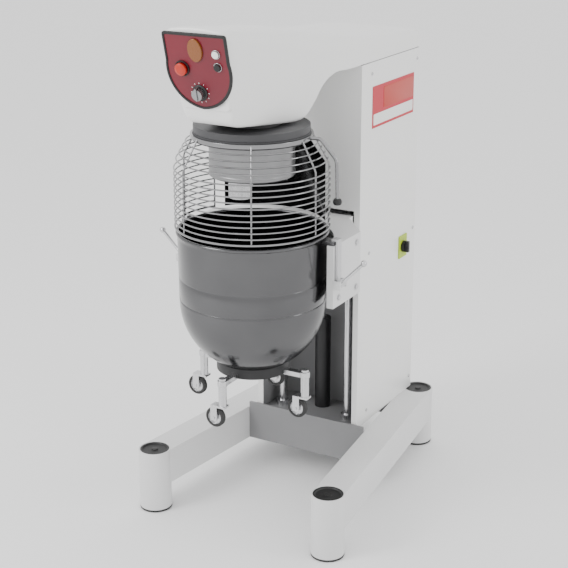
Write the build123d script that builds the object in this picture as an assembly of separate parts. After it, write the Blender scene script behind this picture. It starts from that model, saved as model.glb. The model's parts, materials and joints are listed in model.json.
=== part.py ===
from build123d import *
import math
import os

# Floor-standing planetary stand mixer, about 80 litres, in millimetres.
# +Z up, +Y to the back, +X on the right of somebody who faces the control panel, which faces -Y.
# The origin is on the floor, at the middle of the overall box: save() moves every piece there.

DRAWN_MIDDLE_Y = 11.7           # the middle of the overall length, in the Y values drawn below

# ---- base ----
FRONT_FOOT = (355, -389.5)      # centre of the right front foot post; the left one is its mirror image
REAR_FOOT = (246, 595.5)        # the rear track is narrower, so the legs converge to the back
POST_R = 58
POST_WALL = 5
POST_TOP = 230
PAD_TOP = 8                     # rubber pad under each post
LEG_W = 110
LEG_Z0 = 100
LEG_Z1 = 230
LEG_WALL = 4
CROSS_T = 10                    # thickness of the two cross plates between the legs

# ---- column ----
COL_X = 212                     # half width over the side panels
COL_Y0 = 109
COL_Y1 = 597
COL_TOP = 1600
SHEET = 3
MOUTH_X = 190                   # half width of the column's front mouth
MOUTH_TOP = 1075
LINER_Y = 300
LINER_TOP = 1130
BASE_PLATE_TOP = 236

# ---- bowl and planetary axis ----
BOWL_Y = -281
BOWL_R = 256
BOWL_LOW_R = 252
BOWL_KNEE_Z = 837               # where the wall turns into the round bottom
BOWL_RIM_Z = 1086
BOWL_WALL = 3
RIM_BEAD = 6
ORBIT = 75                      # from the bowl's axis to the tool's axis
TOOL_Y = BOWL_Y - ORBIT
MODULE = 5
RING_TEETH = 45
PINION_TEETH = 15

# ---- lift ----
ROD_X = 140
ROD_Y = 175
ROD_R = 15
RUNNING_FIT = 0.05
RAM_Y = 240
YOKE_X = 300
YOKE_FRONT = -262
YOKE_BACK = 98
YOKE_Z0 = 840
YOKE_Z1 = 1060
YOKE_BORE = 276                 # radius that clears the bowl
YOKE_PLATE = 12
HEAD_Z0 = 830                   # crosshead and its guide bushes
HEAD_Z1 = 1050
STAND_OFF = 0.3                 # gap between faces of different moving bodies

# ---- head ----
NECK_Z = 1425                   # underside of the neck
NECK_R = 196
NECK_TOP = 1450
COLLAR_R = 100
COLLAR_TOP = 1490
BEAM_Z0 = 1620
BEAM_Z1 = 1640
MOTOR_Y = 330
MOTOR_R = 88
MOTOR_LOW = 1330
MOTOR_BORE_Z = 1590
MOTOR_SHAFT_R = 12
MOTOR_RIBS = 24
MAIN_SHAFT_R = 25
BELT_Z0 = 1646
BELT_Z1 = 1670
DRIVEN_R = 100
DRIVE_R = 40
PULLEY_LIP = 7
BELT_T = 6

# ---- planetary ----
NECK_BORE = 132
GEAR_Z = 1426
GEAR_W = 16
DRUM_R = 146
DRUM_Z0 = 1276
DRUM_Z1 = 1424
MAIN_SHAFT_Z = 1330
TOOL_SHAFT_R = 17
HUB_R = 40
HUB_Z0 = 1213
HUB_Z1 = 1273
TOOL_SHAFT_TOP = 1423
SOCKET_R = 15
SOCKET_DEPTH_Z = 1263
SLOT_W = 10                     # bayonet slot for the tool's cross pin
SLOT_END = 12

# ---- guard ----
CAGE_R = 262
SHIELD_R = 249                  # fixed sheet behind the cage
SHIELD_HALF_ANGLE = 54
CAGE_Z0 = 1102
CAGE_PITCH = 20
CAGE_HALF_ANGLE = 118
UPRIGHTS = (-118, -84, -30, 30, 84, 118)
CAGE_RINGS = 10                 # above the bottom ring
SHOULDER_Z = 1318
WIRE_R = 2.5
HOOP_R = 206
HOOP_TOP = 1420
TRACK_R = 197
TRACK_BORE = 190
TRACK_Z = 1405
SHOULDER_RINGS = (0.14, 0.34, 0.54, 0.74)   # shares of the way up the shoulder

# ---- casters ----
CASTER_R = 205                  # swivel axes on this circle
CASTER_TRAIL = 28
WHEEL_R = 36
WHEEL_W = 22
WHEEL_Z = 466
ARM_Z0 = 583
ARM_Z1 = 603

# ---- control panel, on the slanted nose ----
NOSE_TOP = (-625, 1800)
NOSE_LOW = (-560, 1540)
BEZEL_T = 8
FACE_T = 5
PRESS = 4                       # travel of the push buttons
ESTOP_PRESS = 6


# ---------------------------------------------------------------- helpers
FROM_START = (Align.CENTER, Align.CENTER, Align.MIN)
ALONG_X = (1, 0, 0)
ALONG_Y = (0, 1, 0)


def block(x0, x1, y0, y1, z0, z1):
    return Pos((x0 + x1) / 2, (y0 + y1) / 2, (z0 + z1) / 2) * Box(x1 - x0, y1 - y0, z1 - z0)


def cyl(r, z0, z1, x=0, y=0):
    return Pos(x, y, (z0 + z1) / 2) * Cylinder(r, z1 - z0)


def tube(outer, inner, z0, z1, x=0, y=0):
    return cyl(outer, z0, z1, x, y) - cyl(inner, z0, z1, x, y)


def spigot(start, direction, r, length):
    """A cylinder that starts at a point and runs along a direction."""
    return Plane(origin=start, z_dir=direction) * Cylinder(r, length, align=FROM_START)


def bar(start, end, r):
    run = Vector(*end) - Vector(*start)
    return spigot(start, run, r, run.length)


def lathe(points, x=0, y=0):
    """A closed outline of (radius, height) points, turned about a vertical axis."""
    outline = make_face(Polyline(*points, close=True))
    return Pos(x, y, 0) * revolve(Plane.XZ * outline, Axis.Z, 360)


def both_sides(part):
    return [part, mirror(part, about=Plane.YZ)]


def polar(r, degrees, z):
    """A point round the bowl's axis; 0 degrees is straight ahead (-Y), 90 is +X."""
    a = math.radians(degrees)
    return (r * math.sin(a), BOWL_Y - r * math.cos(a), z)


def save(name, shape):
    shapes = shape if isinstance(shape, list) else [shape]
    flat = [Pos(0, -DRAWN_MIDDLE_Y, 0) * solid for part in shapes for solid in part.solids()]
    export_step(flat[0] if len(flat) == 1 else Compound(children=flat), f"parts/{name}.step")


# ---------------------------------------------------------------- base
def leg_bar(width, z0, z1):
    dx = REAR_FOOT[0] - FRONT_FOOT[0]
    dy = REAR_FOOT[1] - FRONT_FOOT[1]
    middle = Pos((FRONT_FOOT[0] + REAR_FOOT[0]) / 2, (FRONT_FOOT[1] + REAR_FOOT[1]) / 2, (z0 + z1) / 2)
    turn = Rot(0, 0, math.degrees(math.atan2(-dx, dy)))
    return middle * turn * Box(width, math.hypot(dx, dy), z1 - z0)


def leg():
    hollow = leg_bar(LEG_W, LEG_Z0, LEG_Z1)
    hollow -= leg_bar(LEG_W - 2 * LEG_WALL, LEG_Z0 + LEG_WALL, LEG_Z1 - LEG_WALL)
    for x, y in (FRONT_FOOT, REAR_FOOT):
        hollow -= cyl(POST_R, 0, LEG_Z1 + 10, x, y)
    return hollow


def at_posts(make):
    return [make(side * x, y) for x, y in (FRONT_FOOT, REAR_FOOT) for side in (1, -1)]


def foot_post(x, y):
    return tube(POST_R, POST_R - POST_WALL, PAD_TOP, POST_TOP, x, y)


def post_cap(x, y):
    r = POST_R - POST_WALL - 0.1
    return lathe([(0, POST_TOP - 6), (r - 3, POST_TOP - 6), (r - 3, POST_TOP - 22), (r, POST_TOP - 22),
                  (r, POST_TOP - 1), (r - 2, POST_TOP), (0, POST_TOP)], x, y)


def foot_pad(x, y):
    r = POST_R - POST_WALL - 0.1
    return lathe([(0, 0), (POST_R - 3, 0), (POST_R, 2), (POST_R, PAD_TOP), (r, PAD_TOP), (r, PAD_TOP + 14),
                  (0, PAD_TOP + 14)], x, y)


def cross_plate(y0, half, z1):
    plate = block(-half, half, y0, y0 + CROSS_T, LEG_Z0 + 1, z1)
    for side in both_sides(leg_bar(LEG_W, LEG_Z0, z1 + 10)):
        plate -= side
    return plate


# ---------------------------------------------------------------- column
def column_base():
    plate = block(-COL_X + SHEET, COL_X - SHEET, COL_Y0 + SHEET, COL_Y1 - SHEET, LEG_Z1, BASE_PLATE_TOP)
    return plate - cyl(30, LEG_Z1, BASE_PLATE_TOP, 0, RAM_Y)


def side_panel():
    wall = block(COL_X - SHEET, COL_X, COL_Y0, COL_Y1, LEG_Z1, COL_TOP)
    lip = block(MOUTH_X, COL_X - SHEET, COL_Y0, COL_Y0 + SHEET, BASE_PLATE_TOP, COL_TOP)
    return wall + lip


def rear_panel():
    x = COL_X - SHEET
    return block(-x, x, COL_Y1 - SHEET, COL_Y1, BASE_PLATE_TOP, COL_TOP)


def front_cover():
    """Sheet over the upper front that wraps round both corners and frames the mouth."""
    x = COL_X + 2
    skirt = 1010
    cover = block(-x, x, COL_Y0 - SHEET, COL_Y0 + 61, skirt, COL_TOP)
    cover -= block(-COL_X, COL_X, COL_Y0, COL_Y1, skirt, COL_TOP)
    return cover - block(-MOUTH_X, MOUTH_X, COL_Y0 - 10, COL_Y0, skirt, MOUTH_TOP)


def column_liner():
    """Dark channel behind the mouth, in which the carriage rides."""
    x = MOUTH_X
    shell = block(-x - SHEET, x + SHEET, COL_Y0 + SHEET, LINER_Y + SHEET, BASE_PLATE_TOP, LINER_TOP + SHEET)
    return shell - block(-x, x, COL_Y0, LINER_Y, BASE_PLATE_TOP, LINER_TOP)


def guide_rod(x):
    rod = cyl(ROD_R, BASE_PLATE_TOP, LINER_TOP, x, ROD_Y)
    rod += cyl(24, BASE_PLATE_TOP, BASE_PLATE_TOP + 20, x, ROD_Y)
    return rod + cyl(24, LINER_TOP - 20, LINER_TOP, x, ROD_Y)


RAM_TOP = 600
RAM_BOTTOM = 110
RAM_ROD_R = 12
RAM_BORE = 24
RAM_HEAD_Z = 1030               # where the ram's rod meets the carriage


def lift_cylinder():
    r = RAM_ROD_R + RUNNING_FIT
    return lathe([(0, RAM_BOTTOM), (30, RAM_BOTTOM), (30, RAM_TOP), (r, RAM_TOP), (r, RAM_TOP - 15),
                  (RAM_BORE, RAM_TOP - 15), (RAM_BORE, RAM_BOTTOM + 6), (0, RAM_BOTTOM + 6)], 0, RAM_Y)


def lift_rod():
    piston = RAM_BORE - 0.1
    return lathe([(0, 545), (piston, 545), (piston, 562), (RAM_ROD_R, 562), (RAM_ROD_R, RAM_HEAD_Z),
                  (0, RAM_HEAD_Z)], 0, RAM_Y)


# ---------------------------------------------------------------- carriage and clamps
def yoke_outline():
    half = [(YOKE_X, YOKE_FRONT), (YOKE_X, -60), (MOUTH_X, 70), (MOUTH_X, YOKE_BACK)]
    return make_face(Polyline(*half, *[(-x, y) for x, y in reversed(half)], close=True))


def carriage():
    """Channel-section yoke round the bowl, with the crosshead that slides on the guide rods."""
    yoke = Pos(0, 0, YOKE_Z0) * extrude(yoke_outline(), YOKE_Z1 - YOKE_Z0)
    pocket = offset(yoke_outline(), -YOKE_PLATE)
    yoke -= Pos(0, 0, YOKE_Z0 + YOKE_PLATE) * extrude(pocket, YOKE_Z1 - YOKE_Z0 - 2 * YOKE_PLATE)
    yoke -= cyl(YOKE_BORE, YOKE_Z0 - 1, YOKE_Z1 + 1, 0, BOWL_Y)
    yoke += block(-165, 165, YOKE_BACK, 126, 850, HEAD_Z1)
    yoke += block(-ROD_X - 30, ROD_X + 30, 125, 150, HEAD_Z0, HEAD_Z1)
    yoke += block(-45, 45, 149, RAM_Y + 22, RAM_HEAD_Z, RAM_HEAD_Z + 16)
    for x in (-ROD_X, ROD_X):
        yoke += cyl(32, HEAD_Z0, HEAD_Z1 - 10, x, ROD_Y)
    for x in (-ROD_X, ROD_X):
        yoke -= cyl(ROD_R + RUNNING_FIT, HEAD_Z0 - 10, HEAD_Z1 + 10, x, ROD_Y)
    return yoke


CLAMP_Y = -237
CLAMP_X = 315
CLAMP_Z = 925
CLAMP_HUB = 40                  # length of the clamp's hub along its pin
CLAMP_PIN_R = 5
CLAMP_STRAP = 8
CLAMP_GRIP = (400, CLAMP_Y, 1010)   # centre of the ball on the handle
LUG_TOP = 1072.3


def clamp():
    """Right-hand bowl clamp: a hub on the arm's outer face, a jaw over the bowl's lug and a handle."""
    body = spigot((CLAMP_X, CLAMP_Y - CLAMP_HUB / 2, CLAMP_Z), ALONG_Y, 13, CLAMP_HUB)
    x0, x1 = YOKE_X + 2, YOKE_X + 10
    y0, y1 = CLAMP_Y - 14, CLAMP_Y + 14
    body += block(x0, x1, y0, y1, CLAMP_Z, LUG_TOP + CLAMP_STRAP)
    body += block(YOKE_X - 14, x1, y0, y1, LUG_TOP + STAND_OFF, LUG_TOP + CLAMP_STRAP)
    body += bar((CLAMP_X, CLAMP_Y, CLAMP_Z), CLAMP_GRIP, 6)
    body += Pos(*CLAMP_GRIP) * Sphere(11)
    return body - spigot((CLAMP_X, CLAMP_Y - 30, CLAMP_Z), ALONG_Y, CLAMP_PIN_R + RUNNING_FIT, 60)


def clamp_brackets():
    """Two ears and a pin on each arm that carry the clamp."""
    near = CLAMP_HUB / 2 + STAND_OFF
    far = CLAMP_HUB / 2 + 7
    ears = spigot((CLAMP_X, CLAMP_Y - far, CLAMP_Z), ALONG_Y, CLAMP_PIN_R, 2 * far)
    for y0, y1 in ((CLAMP_Y - far, CLAMP_Y - near), (CLAMP_Y + near, CLAMP_Y + far)):
        ears += block(YOKE_X, CLAMP_X + 12, y0, y1, CLAMP_Z - 14, CLAMP_Z + 14)
    return ears


# ---------------------------------------------------------------- bowl
def bowl_solid(inset):
    """The bowl's envelope up to the middle of its rim bead: a tapered wall on a hemisphere."""
    top = BOWL_RIM_Z - RIM_BEAD
    low = BOWL_LOW_R - inset
    arc = CenterArc((0, BOWL_KNEE_Z), low, 270, 90)
    wall = Polyline((low, BOWL_KNEE_Z), (BOWL_R - inset, top), (0, top), (0, BOWL_KNEE_Z - low))
    return Pos(0, BOWL_Y, 0) * revolve(Plane.XZ * make_face([arc, wall]), Axis.Z, 360)


def bowl_shell():
    bead = Pos(0, BOWL_Y, BOWL_RIM_Z - RIM_BEAD) * Torus(BOWL_R - 1, RIM_BEAD)
    return bowl_solid(0) - bowl_solid(BOWL_WALL) + bead


def bowl_lug():
    z0 = YOKE_Z1 + STAND_OFF
    lug = block(BOWL_LOW_R - 12, YOKE_X, YOKE_FRONT, YOKE_FRONT + 50, z0, LUG_TOP)
    return lug - bowl_solid(0)


def bowl_base():
    """Foot ring under the bowl with four arms that carry the casters."""
    ring = tube(128, 98, ARM_Z0, 640, 0, BOWL_Y)
    for i in range(4):
        arm = block(110, CASTER_R, -13, 13, ARM_Z0, ARM_Z1 - 4) + cyl(17, ARM_Z0, ARM_Z1, CASTER_R)
        arm -= cyl(8 + RUNNING_FIT, ARM_Z0 - 1, ARM_Z1 + 1, CASTER_R)
        ring += Pos(0, BOWL_Y, 0) * Rot(0, 0, 90 * i) * arm
    return ring - bowl_solid(0)


# ---------------------------------------------------------------- casters
def caster_place(i):
    """Swivel axis of caster i; at rest every caster trails to the left."""
    a = math.radians(90 * i)
    return Pos(CASTER_R * math.cos(a), BOWL_Y + CASTER_R * math.sin(a), 0) * Rot(0, 0, 180)


def caster_fork():
    stem = cyl(8, 505, ARM_Z1 + 8) + cyl(14, 505, ARM_Z0 - STAND_OFF)
    stem += cyl(13, ARM_Z1 + STAND_OFF, ARM_Z1 + 8)
    cheek_y = WHEEL_W / 2 + 2
    fork = stem + block(-16, CASTER_TRAIL + 12, -cheek_y - 3, cheek_y + 3, 505, 512)
    for side in (-1, 1):
        y0, y1 = sorted((side * cheek_y, side * (cheek_y + 3)))
        fork += block(CASTER_TRAIL - 13, CASTER_TRAIL + 12, y0, y1, WHEEL_Z - 10, 512)
    fork += bar((CASTER_TRAIL, -cheek_y - 6, WHEEL_Z), (CASTER_TRAIL, cheek_y + 6, WHEEL_Z), 5)
    return fork


def caster_wheel():
    axis = Plane(origin=(CASTER_TRAIL, 0, WHEEL_Z), z_dir=(0, 1, 0))
    return axis * (Cylinder(WHEEL_R, WHEEL_W) - Cylinder(5 + RUNNING_FIT, WHEEL_W))


# ---------------------------------------------------------------- head
HOOD_STATIONS = [               # y, half width low on the head, half width at its top
    (-645, 52, 96), (-600, 70, 122), (-530, 84, 128), (-390, 107, 137), (-200, 142, 166),
    (-125, 175, 190), (-55, 200, 208), (30, 212, 212), (607, 212, 212),
]
HOOD_BACK = 607
HOOD_LOW = 1440
HOOD_HIGH = 1820
HOOD_SIDE = [                   # side view: y, z round the head
    (607, 1600), (607, 1655), (597, 1665), (109, 1700), (-240, 1762), (-590, 1800), NOSE_TOP, NOSE_LOW,
    (-530, 1490), (-390, 1470), (-200, 1453), (-165, 1490), (-125, 1555), (-55, 1604), (0, 1600),
]


def hood_plan(column, wall):
    right = [(row[column] - wall, row[0]) for row in HOOD_STATIONS]
    right[0] = (right[0][0], right[0][1] + wall)
    right[-1] = (right[-1][0], right[-1][1] - wall)
    return make_face(Polyline(*right, *[(-x, y) for x, y in reversed(right)], close=True))


def hood_body(wall):
    low = Pos(0, 0, HOOD_LOW) * hood_plan(1, wall)
    high = Pos(0, 0, HOOD_HIGH) * hood_plan(2, wall)
    body = loft([low, high], ruled=True)
    side = make_face(Polyline(*HOOD_SIDE, close=True))
    if wall:
        side = offset(side, -wall, kind=Kind.INTERSECTION)
    width = 2 * COL_X + 20
    return body & (Pos(-width / 2, 0, 0) * extrude(Plane.YZ * side, width))


def hood():
    """Moulded cover over the head: open below where it sits on the column."""
    shell = hood_body(0) - hood_body(SHEET)
    x = COL_X - SHEET
    shell -= block(-x, x, COL_Y0, HOOD_BACK - SHEET, COL_TOP - 10, COL_TOP + 10)
    shell -= cyl(COLLAR_R + STAND_OFF, HOOD_LOW, 1500, 0, BOWL_Y)
    window = extrude(nose_plane(0) * shield(-16), 8, both=True)
    return shell - window


def neck_housing():
    """Round housing for the ring gear, with the collar the hood fits and the bearing sleeve above."""
    roof = NECK_TOP - 7
    return lathe([(NECK_BORE, NECK_Z), (NECK_R, NECK_Z), (NECK_R, NECK_TOP), (COLLAR_R, NECK_TOP),
                  (COLLAR_R, COLLAR_TOP), (COLLAR_R - 10, COLLAR_TOP), (COLLAR_R - 10, NECK_TOP), (55, NECK_TOP),
                  (55, BEAM_Z0), (45, BEAM_Z0), (45, roof), (NECK_BORE, roof)], 0, BOWL_Y)


def head_frame():
    """Flat beam from the column to the bearing sleeve, with two ribs bolted to the side panels."""
    half = [(85, -400), (85, -60), (200, 60), (200, 590)]
    plan = make_face(Polyline(*half, *[(-x, y) for x, y in reversed(half)], close=True))
    beam = Pos(0, 0, BEAM_Z0) * extrude(plan, BEAM_Z1 - BEAM_Z0)
    for side in (-1, 1):
        x0, x1 = sorted((side * 190, side * (COL_X - SHEET)))
        beam += block(x0, x1, 130, 580, COL_TOP - 60, BEAM_Z0 + 10)
    beam -= cyl(30, BEAM_Z0, BEAM_Z1, 0, BOWL_Y)
    return beam - cyl(20, BEAM_Z0, BEAM_Z1, 0, MOTOR_Y)


def main_bearings():
    return [tube(45, MAIN_SHAFT_R + RUNNING_FIT, z, z + 20, 0, BOWL_Y) for z in (1470, 1595)]


def motor():
    """Flanged motor with cooling ribs and a terminal box, hung under the beam."""
    bore = MOTOR_SHAFT_R + RUNNING_FIT
    flange_z = BEAM_Z0 - 16
    body = lathe([(bore, MOTOR_BORE_Z), (bore, BEAM_Z0), (98, BEAM_Z0), (98, flange_z), (MOTOR_R, flange_z),
                  (MOTOR_R, MOTOR_LOW + 15), (60, MOTOR_LOW), (0, MOTOR_LOW), (0, MOTOR_BORE_Z)], 0, MOTOR_Y)
    rib = block(MOTOR_R - 2, MOTOR_R + 7, -1.5, 1.5, MOTOR_LOW + 35, flange_z - 14)
    for i in range(MOTOR_RIBS):
        body += Pos(0, MOTOR_Y, 0) * Rot(0, 0, 360 / MOTOR_RIBS * i) * rib
    return body + block(-45, 45, MOTOR_Y + 80, MOTOR_Y + 130, 1440, 1540)


def motor_pulley():
    shaft = cyl(MOTOR_SHAFT_R, MOTOR_BORE_Z + 2, BELT_Z1 + 3)
    return Pos(0, MOTOR_Y, 0) * (pulley_wheel(DRIVE_R, 0) + shaft)


def pulley_wheel(core, bore):
    """Flat-belt pulley with a lip at each face."""
    lip = core + PULLEY_LIP
    z0, z1 = BELT_Z0, BELT_Z1
    return lathe([(bore, z0), (lip, z0), (lip, z0 + 2), (core, z0 + 2),
                  (core, z1 - 2), (lip, z1 - 2), (lip, z1), (bore, z1)])


def drive_belt():
    def loop(extra):
        circles = [Pos(0, BOWL_Y) * CenterArc((0, 0), DRIVEN_R + extra, 0, 360),
                   Pos(0, MOTOR_Y) * CenterArc((0, 0), DRIVE_R + extra, 0, 360)]
        return make_face(make_hull(circles))
    band = loop(STAND_OFF + BELT_T) - loop(STAND_OFF)
    return Pos(0, 0, BELT_Z0 + 2.5) * extrude(band, BELT_Z1 - BELT_Z0 - 5)


# ---------------------------------------------------------------- planetary
def involute(base, r):
    roll = math.sqrt(max((r / base) ** 2 - 1, 0))
    return roll - math.atan(roll)


def gear_outline(teeth, root, tip, thickness):
    """Outline of an involute gear; thickness is the tooth's width at the pitch circle, in mm."""
    pitch = MODULE * teeth / 2
    base = pitch * math.cos(math.radians(20))
    half = thickness / pitch / 2 + involute(base, pitch)
    flank = []
    low = max(root, base)
    for i in range(5):
        r = low + (tip - low) * i / 4
        flank.append((r, half - involute(base, r)))
    points = []
    for tooth in range(teeth):
        centre = 2 * math.pi * tooth / teeth
        gap = math.pi / teeth
        shape = [(root, -gap), (root, -half)] + [(r, -a) for r, a in flank]
        shape += [(r, a) for r, a in reversed(flank)] + [(root, half)]
        points += [(r * math.cos(centre + a), r * math.sin(centre + a)) for r, a in shape]
    return make_face(Polyline(*points, close=True))


def ring_gear():
    """Internal gear: a plain ring less a gear whose teeth are the gaps."""
    pitch = MODULE * RING_TEETH / 2
    gaps = gear_outline(RING_TEETH, pitch - 0.8 * MODULE, pitch + 1.25 * MODULE, math.pi * MODULE / 2 + 0.4)
    ring = Circle(NECK_BORE) - gaps
    # a gap lies straight ahead, where it faces a pinion tooth
    return Pos(0, BOWL_Y, GEAR_Z) * extrude(Rot(0, 0, -90) * ring, GEAR_W)


def planet_pinion():
    """Pinion above the drum, with the stub that joins it to the tool shaft."""
    pitch = MODULE * PINION_TEETH / 2
    gear = gear_outline(PINION_TEETH, pitch - 1.25 * MODULE, pitch + 0.8 * MODULE, math.pi * MODULE / 2 - 0.4)
    wheel = extrude(Rot(0, 0, -90) * gear, GEAR_W - 2)
    return Pos(0, TOOL_Y, GEAR_Z + 1) * wheel + cyl(TOOL_SHAFT_R - 1, TOOL_SHAFT_TOP, GEAR_Z + 2, 0, TOOL_Y)


def planet_drum():
    """Closed can that carries the tool shaft round the bowl's axis."""
    can = tube(DRUM_R, DRUM_R - 6, DRUM_Z0, DRUM_Z1, 0, BOWL_Y)
    can += cyl(DRUM_R, DRUM_Z0, DRUM_Z0 + 10, 0, BOWL_Y)
    can += cyl(DRUM_R, DRUM_Z1 - 10, DRUM_Z1, 0, BOWL_Y)
    can += cyl(40, MAIN_SHAFT_Z, DRUM_Z1 - 9, 0, BOWL_Y)
    can += cyl(28, DRUM_Z0 + 9, DRUM_Z0 + 50, 0, TOOL_Y)
    can += cyl(28, DRUM_Z1 - 50, DRUM_Z1 - 9, 0, TOOL_Y)
    can -= cyl(TOOL_SHAFT_R + RUNNING_FIT, DRUM_Z0 - 10, DRUM_Z1 + 6, 0, TOOL_Y)
    return can - cyl(MAIN_SHAFT_R, MAIN_SHAFT_Z, DRUM_Z1 + 6, 0, BOWL_Y)


def tool_shaft():
    """Shaft with a bayonet socket at its lower end for the whisk, spatula or hook."""
    shaft = cyl(TOOL_SHAFT_R, SOCKET_DEPTH_Z + 4, TOOL_SHAFT_TOP)
    shaft += tube(HUB_R, SOCKET_R, HUB_Z0, HUB_Z1) + cyl(HUB_R - 1, SOCKET_DEPTH_Z, HUB_Z1)
    slot = SLOT_W / 2
    shaft -= block(-slot, slot, 0, HUB_R + 5, HUB_Z0 - 1, HUB_Z0 + 24)
    shaft -= block(-slot, SLOT_END, 0, HUB_R + 5, HUB_Z0 + 20, HUB_Z0 + 20 + SLOT_W)
    return Pos(0, TOOL_Y, 0) * shaft


# ---------------------------------------------------------------- guard
def guard_track():
    """Ring under the neck, with the lip that the guard's hoop slides on."""
    lip = TRACK_R + 4
    return lathe([(TRACK_BORE, TRACK_Z - 4), (lip, TRACK_Z - 4), (lip, TRACK_Z), (TRACK_R, TRACK_Z),
                  (TRACK_R, NECK_Z), (TRACK_BORE, NECK_Z)], 0, BOWL_Y)


def arc_wire(r, z, centre, half, wire):
    """A horizontal wire round the bowl's axis, half degrees each way from centre."""
    section = Plane(origin=polar(r, centre - half, z), z_dir=tangent(centre - half)) * Circle(wire)
    return revolve(section, Axis((0, BOWL_Y, 0), (0, 0, 1)), 2 * half)


def tangent(degrees):
    a = math.radians(degrees)
    return (math.cos(a), math.sin(a), 0)


def cage_upright(outline, degrees, wire, bends):
    path = FilletPolyline(*[polar(r, degrees, z) for r, z in outline], radius=bends)
    start = Plane(origin=path @ 0, z_dir=path % 0)
    return sweep(start * Circle(wire), path=path)


def guard_cage():
    """Wire cage: level rings up the side and over the shoulder, on uprights inside them, under a hoop."""
    hoop_edge = (204, 1414)
    inside = CAGE_R - 2 * WIRE_R + 0.5
    outline = [hoop_edge, (inside, SHOULDER_Z), (inside, CAGE_Z0 - 2)]
    wires = tube(HOOP_R, TRACK_R + STAND_OFF, TRACK_Z + STAND_OFF, HOOP_TOP, 0, BOWL_Y)
    for degrees in UPRIGHTS:
        wires += cage_upright(outline, degrees, WIRE_R + 0.5, 45)
    wires += arc_wire(CAGE_R, CAGE_Z0, 0, CAGE_HALF_ANGLE, WIRE_R + 1)
    for i in range(CAGE_RINGS):
        wires += arc_wire(CAGE_R, CAGE_Z0 + CAGE_PITCH * (i + 1), 0, CAGE_HALF_ANGLE, WIRE_R)
    low, high = Vector(inside, SHOULDER_Z), Vector(*hoop_edge)
    slope = (high - low).normalized()
    outward = Vector(slope.Y, -slope.X) * (2 * WIRE_R - 0.5)
    for share in SHOULDER_RINGS:
        place = low + (high - low) * share + outward
        wires += arc_wire(place.X, place.Y, 0, CAGE_HALF_ANGLE, WIRE_R)
    return wires


def rear_shield():
    """Fixed sheet that closes the guard between the cage's ends, on the column's side."""
    wall = 2
    outer = [(TRACK_BORE, NECK_Z), (TRACK_BORE, TRACK_Z - 5), (SHIELD_R, SHOULDER_Z - 8), (SHIELD_R, CAGE_Z0)]
    inner = [(SHIELD_R - wall, CAGE_Z0), (SHIELD_R - wall, SHOULDER_Z - 9), (TRACK_BORE - wall, TRACK_Z - 6),
             (TRACK_BORE - wall, NECK_Z)]
    outline = make_face(Polyline(*outer, *inner, close=True))
    sheet = revolve(Plane.XZ * outline, Axis.Z, 2 * SHIELD_HALF_ANGLE)
    return Pos(0, BOWL_Y, 0) * Rot(0, 0, 90 - SHIELD_HALF_ANGLE) * sheet


HANDLE_ANGLE = 100


def guard_handle():
    outline = [(HOOP_R - 2, 1413), (240, 1413), (296, 1345), (300, 1215)]
    return cage_upright(outline, HANDLE_ANGLE, 6, (20, 40))


def guard_knob():
    x, y, z = polar(300, HANDLE_ANGLE, 1205)
    return Pos(x, y, z) * (Sphere(15) & Box(40, 40, 20))


# ---------------------------------------------------------------- control panel
def nose_plane(lift):
    """Plane of the panel, local +Y up the slant, raised by lift along its outward normal."""
    dy = NOSE_TOP[0] - NOSE_LOW[0]
    dz = NOSE_TOP[1] - NOSE_LOW[1]
    run = math.hypot(dy, dz)
    normal = Vector(0, -dz / run, dy / run)
    middle = Vector(0, (NOSE_TOP[0] + NOSE_LOW[0]) / 2, (NOSE_TOP[1] + NOSE_LOW[1]) / 2)
    return Plane(origin=middle + normal * lift, x_dir=(1, 0, 0), z_dir=normal)


def shield(grow):
    """Shield outline: flat top, upright sides, round point."""
    x, top, low = 116 + grow, 124 + grow, -128 - grow
    right = ThreePointArc((x, 30), (x * 0.74, -86 - 0.7 * grow), (0, low))
    left = ThreePointArc((0, low), (-x * 0.74, -86 - 0.7 * grow), (-x, 30))
    upper = Polyline((-x, 30), (-x, top), (x, top), (x, 30))
    return make_face([right, left, upper])


# places on the panel: across, and up the slant from its middle
ESTOP_AT = (-58, 6)
KNOB_AT = (-6, -72)
START_AT = (74, 62)
STOP_AT = (74, 20)
BADGE_AT = (0, 70)


def control_bezel():
    ring = shield(0) - shield(-9)
    return extrude(nose_plane(0) * ring, BEZEL_T)


def control_face():
    plate = extrude(nose_plane(0) * shield(-9), FACE_T)
    for place, r in ((ESTOP_AT, 12), (KNOB_AT, 5), (START_AT, 7), (STOP_AT, 7)):
        plate -= extrude(nose_plane(0) * (Pos(*place) * Circle(r + RUNNING_FIT)), 20, both=True)
    return plate


def panel_badge():
    """Blank domed lens at the top of the panel."""
    dome = extrude(Pos(*BADGE_AT) * Ellipse(26, 38), 7)
    dome = fillet(dome.edges().group_by(Axis.Z)[-1], 3)
    return nose_plane(FACE_T) * dome


def panel_part(place, sections):
    """Round piece on the panel, as (radius, from, to) steps along its normal."""
    part = cyl(*sections[0])
    for section in sections[1:]:
        part += cyl(*section)
    return nose_plane(0) * (Pos(*place) * part)


def push_button(place, cap, stem, travel, crown):
    low = FACE_T + travel + STAND_OFF
    return panel_part(place, [(stem, -10, low + 1), (cap, low, low + crown)])


def timer_knob():
    low = FACE_T + STAND_OFF
    knob = panel_part(KNOB_AT, [(5, -10, low + 1), (27, low, low + 5), (19, low, low + 24)])
    pointer = nose_plane(0) * (Pos(*KNOB_AT) * block(-3, 3, -18, 24, low + 4, low + 28))
    return knob + pointer


# ---------------------------------------------------------------- side fittings
ISOLATOR_AT = (480, 850)        # y, z on the right side panel
GLAND_AT = (-120, 330)          # x, z on the rear panel


def side_disc(r, x0, x1):
    return spigot((x0, *ISOLATOR_AT), ALONG_X, r, x1 - x0)


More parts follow.
